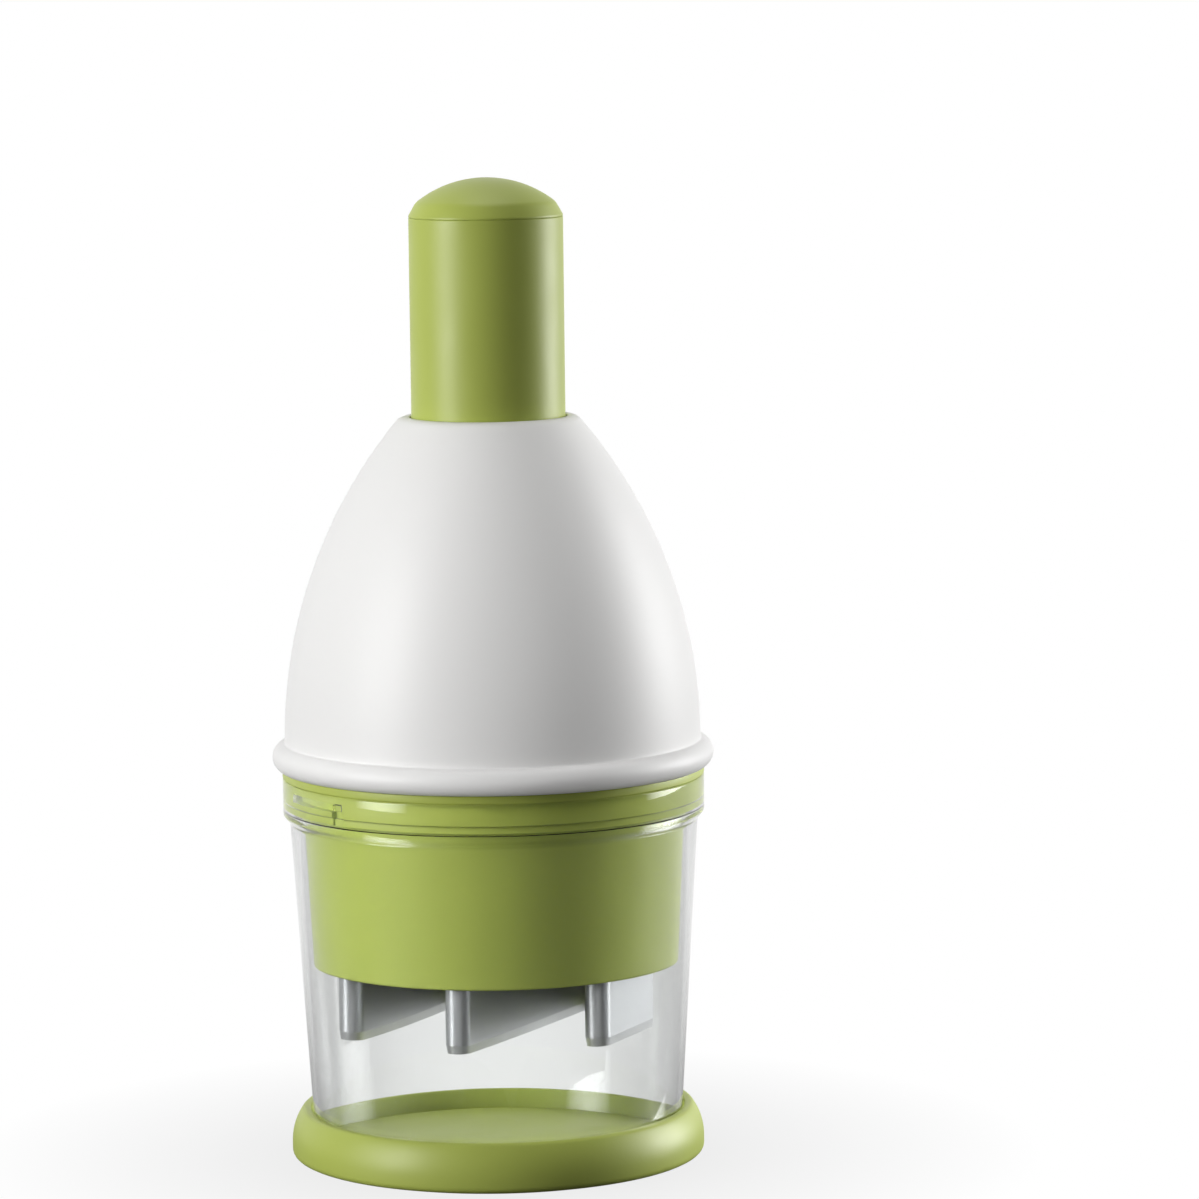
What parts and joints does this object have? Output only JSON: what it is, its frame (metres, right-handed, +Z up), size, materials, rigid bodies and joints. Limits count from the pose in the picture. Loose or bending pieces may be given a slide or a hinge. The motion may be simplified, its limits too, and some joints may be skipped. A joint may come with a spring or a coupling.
{
  "type": "vegetable chopper",
  "caption": "Push-down vegetable chopper: domed housing with a sprung push handle, folded blade in a guard cup, clear tapered container and a pull-off base.",
  "frame": {"origin": "middle of the face that the chopper stands on, on its upright axis", "axes": "+Z up along the axis of container, dome and handle, front faces -Y"},
  "size_m": [0.1048, 0.1048, 0.2331],
  "materials": {
    "green_plastic": "glossy moulded",
    "white_plastic": "glossy moulded",
    "clear_plastic": "clear polished",
    "blade_steel": "bright rolled",
    "bar_steel": "drawn",
    "screw_steel": "zinc plated",
    "acetal": "natural moulded",
    "carrier_plastic": "moulded",
    "soft_rubber": "matt"
  },
  "bodies": {
    "base": {"base_cap": "green_plastic", "grip_ring": "soft_rubber"},
    "container": {"container": "clear_plastic"},
    "guard": {"blade_guard": "green_plastic"},
    "head": {"dome_shell": "white_plastic", "bearing_plate": "white_plastic", "plate_screws": "screw_steel", "bumper_ring": "soft_rubber", "main_spring": "bar_steel", "ratchet_nut": "acetal", "pawl_ring": "acetal", "nut_retainer": "white_plastic", "retainer_screws": "screw_steel"},
    "plunger": {"handle_sleeve": "green_plastic", "handle_cap": "green_plastic", "swivel_bush": "acetal"},
    "blade_unit": {"twist_bar": "bar_steel", "thrust_washer": "screw_steel", "top_washer": "screw_steel", "top_screw": "screw_steel", "blade_carrier": "carrier_plastic", "carrier_screw": "screw_steel", "blade": "blade_steel"}
  },
  "joints": [
    {"name": "base_release", "type": "slide", "parent": "base", "child": "container", "axis": [0, 0, 1], "range_m": [0, 0.03]},
    {"name": "head_lift", "type": "slide", "parent": "container", "child": "guard", "axis": [0, 0, 1], "range_m": [0, 0.09]},
    {"name": "guard_twist", "type": "hinge", "parent": "guard", "child": "head", "pos_m": [0, 0, 0.0938], "axis": [0, 0, 1], "range_deg": [0, 30]},
    {"name": "plunger_press", "type": "slide", "parent": "head", "child": "plunger", "axis": [0, 0, -1], "range_m": [-0.0175, 0.0235], "stiffness_N_per_m": 400, "springref_m": -0.03, "deforming": ["main_spring"]},
    {"name": "blade_turn", "type": "hinge", "parent": "plunger", "child": "blade_unit", "pos_m": [0, 0, 0.1], "axis": [0, 0, 1], "range_deg": [-18.2, 13.8]}
  ],
  "couplings": [
    {"joint": "blade_turn", "follows": "plunger_press", "rad_per_m": -12.771}
  ]
}
